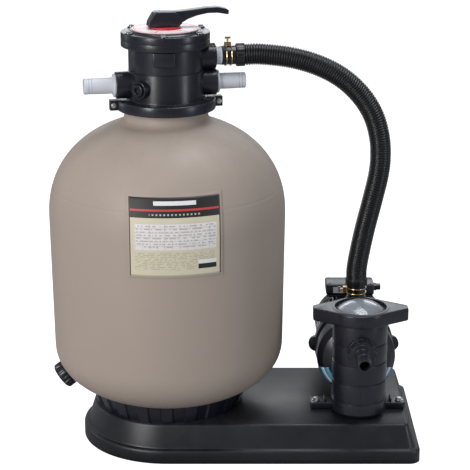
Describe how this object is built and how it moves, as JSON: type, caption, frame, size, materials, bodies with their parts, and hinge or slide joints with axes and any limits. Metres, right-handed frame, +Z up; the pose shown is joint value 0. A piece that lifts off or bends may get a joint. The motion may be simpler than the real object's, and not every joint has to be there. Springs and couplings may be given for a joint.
{
  "type": "sand filter tank",
  "caption": "Round sand filter tank with a top-mount multiport valve, joined by a corrugated hose to a strainer pump on a shared base tray.",
  "frame": {"origin": "centre of the bounding box's bottom face, on the floor", "axes": "+X from the tank towards the pump, +Y from the suction port towards the motor, +Z up"},
  "size_m": [0.796, 0.508, 0.9465],
  "materials": {
    "tank_plastic": "satin, faintly pebbled",
    "black_plastic": "moulded, half gloss",
    "base_plastic": "moulded, matte",
    "hose_plastic": "corrugated, half gloss",
    "white_plastic": "smooth",
    "grey_plastic": "smooth",
    "dial_plastic": "printed",
    "washer_plastic": "smooth",
    "clear_plastic": "clear, polished",
    "seal_rubber": "matte",
    "steel": "stainless",
    "gold_zinc_steel": "yellow zinc plated wire",
    "motor_metal": "painted black"
  },
  "bodies": {
    "filter_set": {"platform": "base_plastic", "tank_shell": "tank_plastic", "tank_skirt": "black_plastic", "drain_spigot": "black_plastic", "standpipe": "white_plastic", "lateral_hub": "white_plastic", "neck_seal": "seal_rubber", "clamp_front": "black_plastic", "clamp_rear": "black_plastic", "clamp_bolt_left": "steel", "clamp_bolt_right": "steel", "valve_body": "black_plastic", "valve_cover": "black_plastic", "cover_seal": "seal_rubber", "dial_plate": "dial_plastic", "rotor_gasket": "seal_rubber", "gauge_plug": "black_plastic", "return_adapter": "white_plastic", "waste_adapter": "white_plastic", "inlet_adapter": "white_plastic", "hose": "hose_plastic", "hose_clamp_valve": "gold_zinc_steel", "hose_clamp_pump": "gold_zinc_steel", "strainer_housing": "black_plastic", "strainer_basket": "grey_plastic", "suction_adapter": "black_plastic", "discharge_adapter": "black_plastic", "motor_bracket": "black_plastic", "shaft_seal": "seal_rubber", "motor_housing": "motor_metal", "fan_cover": "black_plastic", "terminal_box": "black_plastic", "cable_gland": "black_plastic", "foot_bolt_left": "steel", "foot_bolt_right": "steel", "lateral_1": "white_plastic", "lateral_2": "white_plastic", "lateral_3": "white_plastic", "lateral_4": "white_plastic", "lateral_5": "white_plastic", "lateral_6": "white_plastic", "cover_screw_1": "steel", "cover_screw_2": "steel", "cover_screw_3": "steel", "cover_screw_4": "steel", "cover_screw_5": "steel", "cover_screw_6": "steel"},
    "selector": {"thrust_washer": "washer_plastic", "rotor_spring": "steel"},
    "rotor": {"rotor": "grey_plastic", "handle_pin": "steel"},
    "handle": {"handle": "black_plastic"},
    "lid": {"lid_window": "clear_plastic", "lid_seal": "seal_rubber"},
    "lid_ring": {"lid_ring": "black_plastic"},
    "drain_seal": {"drain_seal": "seal_rubber"},
    "drain_cap": {"drain_cap": "black_plastic"},
    "shaft": {"motor_shaft": "steel", "impeller": "grey_plastic", "motor_fan": "black_plastic"}
  },
  "joints": [
    {"name": "selector_turn", "type": "hinge", "parent": "filter_set", "child": "selector", "pos_m": [-0.144, 0, 0.9], "axis": [0, 0, 1], "continuous": true},
    {"name": "rotor_lift", "type": "slide", "parent": "selector", "child": "rotor", "axis": [0, 0, 1], "range_m": [0, 0.0055], "deforming": ["rotor_spring"]},
    {"name": "handle_press", "type": "hinge", "parent": "rotor", "child": "handle", "pos_m": [-0.144, 0, 0.925], "axis": [-0.2079, 0.9781, 0], "range_deg": [0, 12], "stiffness_Nm_per_rad": 8, "springref_deg": -17.19},
    {"name": "lid_rise", "type": "slide", "parent": "filter_set", "child": "lid", "axis": [0, 0, 1], "range_m": [0, 0.00901]},
    {"name": "lid_turn", "type": "hinge", "parent": "lid", "child": "lid_ring", "pos_m": [0.27, -0.092, 0.307], "axis": [0, 0, 1], "range_deg": [0, 540]},
    {"name": "cap_back_off", "type": "slide", "parent": "filter_set", "child": "drain_seal", "axis": [-0.7967, -0.1405, -0.5878], "range_m": [0, 0.00901]},
    {"name": "cap_turn", "type": "hinge", "parent": "drain_seal", "child": "drain_cap", "pos_m": [-0.36258, -0.03854, 0.153], "axis": [-0.7967, -0.1405, -0.5878], "range_deg": [0, 1080]},
    {"name": "shaft_spin", "type": "hinge", "parent": "filter_set", "child": "shaft", "pos_m": [0.27, 0.1, 0.172], "axis": [0, 1, 0], "continuous": true}
  ],
  "couplings": [
    {"joint": "rotor_lift", "follows": "handle_press", "m_per_rad": 0.026},
    {"joint": "lid_rise", "follows": "lid_turn", "m_per_rad": 0.00095493},
    {"joint": "cap_back_off", "follows": "cap_turn", "m_per_rad": 0.00047746}
  ]
}
